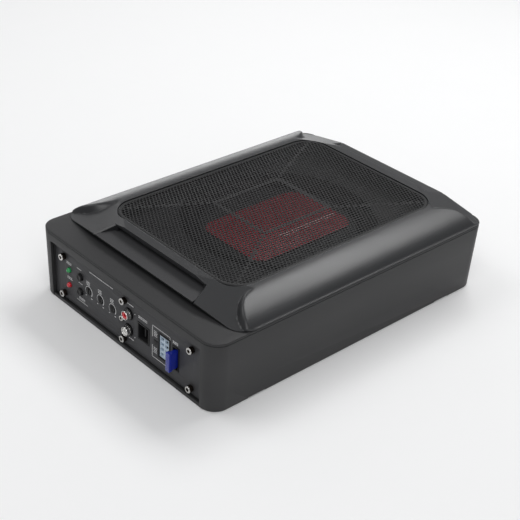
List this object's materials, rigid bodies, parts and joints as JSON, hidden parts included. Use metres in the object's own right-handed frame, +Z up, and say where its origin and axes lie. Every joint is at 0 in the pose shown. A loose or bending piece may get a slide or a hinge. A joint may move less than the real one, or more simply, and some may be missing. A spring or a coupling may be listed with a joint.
{
  "type": "powered car subwoofer",
  "caption": "Slim under-seat powered car subwoofer: flat cone under a hipped mesh grille, rounded saddle cover, recessed control panel.",
  "frame": {"origin": "middle of the base, on the surface the box stands on", "axes": "+Z up; +X along the length, away from the control panel; +Y across the width, towards the indicator-lamp end of the panel"},
  "size_m": [0.349, 0.252, 0.0883],
  "materials": {
    "shell_metal": "fine satin powder coat, charcoal grey",
    "base_metal": "black painted sheet",
    "cover_plastic": "satin painted moulding, charcoal grey",
    "grille_mesh": "perforated sheet, dark satin paint",
    "panel_metal": "matt printed sheet",
    "seal_rubber": "matt foam rubber",
    "screw_steel": "zinc plated",
    "contact_steel": "nickel plated",
    "black_plastic": "moulded, fine texture",
    "red_plastic": "moulded",
    "white_plastic": "moulded",
    "nylon": "natural nylon, bluish",
    "green_lens": "diffused lamp",
    "red_lens": "diffused lamp",
    "fuse_blue": "translucent moulding",
    "brass_contact": "bare",
    "badge_red": "satin",
    "cone_black": "satin",
    "copper_wire": "enamelled",
    "ferrite": "sintered",
    "treated_cloth": "resin-stiffened weave",
    "circuit_board": "solder mask",
    "sink_aluminium": "extruded"
  },
  "bodies": {
    "box": {"basket_screw_1": "screw_steel", "basket_screw_2": "screw_steel", "basket_screw_3": "screw_steel", "basket_screw_4": "screw_steel", "bass_trimmer": "black_plastic", "body_shell": "shell_metal", "bottom_plate": "base_metal", "capacitor_a": "black_plastic", "capacitor_b": "black_plastic", "control_board": "circuit_board", "control_panel": "panel_metal", "crossover_trimmer": "black_plastic", "fuse_contact_high": "brass_contact", "fuse_contact_low": "brass_contact", "fuse_holder": "black_plastic", "gain_trimmer": "black_plastic", "grille": "grille_mesh", "heat_sink": "sink_aluminium", "high_level_socket": "black_plastic", "magnet_ring": "ferrite", "magnet_top_plate": "screw_steel", "magnet_yoke": "screw_steel", "main_board": "circuit_board", "mode_switch": "black_plastic", "output_transistor": "black_plastic", "panel_gasket": "seal_rubber", "panel_screw_1": "screw_steel", "panel_screw_2": "screw_steel", "panel_screw_3": "screw_steel", "panel_screw_4": "screw_steel", "panel_screw_5": "screw_steel", "panel_screw_6": "screw_steel", "phase_switch": "black_plastic", "power_lamp": "green_lens", "power_socket": "black_plastic", "power_terminals": "nylon", "power_toroid": "copper_wire", "protect_lamp": "red_lens", "rca_block": "black_plastic", "rca_insert_red": "red_plastic", "rca_insert_white": "white_plastic", "rca_screw": "screw_steel", "rca_sleeve_red": "contact_steel", "rca_sleeve_white": "contact_steel", "top_cover": "cover_plastic", "top_deck": "shell_metal", "woofer_basket": "black_plastic", "woofer_spider": "treated_cloth", "woofer_surround": "seal_rubber", "woofer_terminal": "brass_contact"},
    "gain_spindle": {"gain_spindle": "black_plastic"},
    "crossover_spindle": {"crossover_spindle": "black_plastic"},
    "bass_spindle": {"bass_spindle": "black_plastic"},
    "mode_button": {"mode_button": "black_plastic"},
    "phase_button": {"phase_button": "black_plastic"},
    "blade_fuse": {"blade_fuse": "fuse_blue"},
    "moving_cone": {"woofer_piston": "cone_black", "piston_badge": "badge_red", "coil_former": "sink_aluminium", "voice_coil": "copper_wire"}
  },
  "joints": [
    {"name": "gain_turn", "type": "hinge", "parent": "box", "child": "gain_spindle", "pos_m": [-0.1673, 0.0546, 0.03], "axis": [1, 0, 0], "range_deg": [-150, 150]},
    {"name": "crossover_turn", "type": "hinge", "parent": "box", "child": "crossover_spindle", "pos_m": [-0.1673, 0.0368, 0.03], "axis": [1, 0, 0], "range_deg": [-150, 150]},
    {"name": "bass_turn", "type": "hinge", "parent": "box", "child": "bass_spindle", "pos_m": [-0.1673, 0.0186, 0.03], "axis": [1, 0, 0], "range_deg": [-150, 150]},
    {"name": "mode_press", "type": "slide", "parent": "box", "child": "mode_button", "axis": [1, 0, 0], "range_m": [0, 0.0016], "stiffness_N_per_m": 300},
    {"name": "phase_press", "type": "slide", "parent": "box", "child": "phase_button", "axis": [1, 0, 0], "range_m": [0, 0.0016], "stiffness_N_per_m": 300},
    {"name": "fuse_pull", "type": "slide", "parent": "box", "child": "blade_fuse", "axis": [-1, 0, 0], "range_m": [0, 0.02]},
    {"name": "cone_stroke", "type": "slide", "parent": "box", "child": "moving_cone", "axis": [0, 0, 1], "range_m": [-0.004, 0.004], "stiffness_N_per_m": 2500, "deforming": ["woofer_surround", "woofer_spider"]}
  ]
}
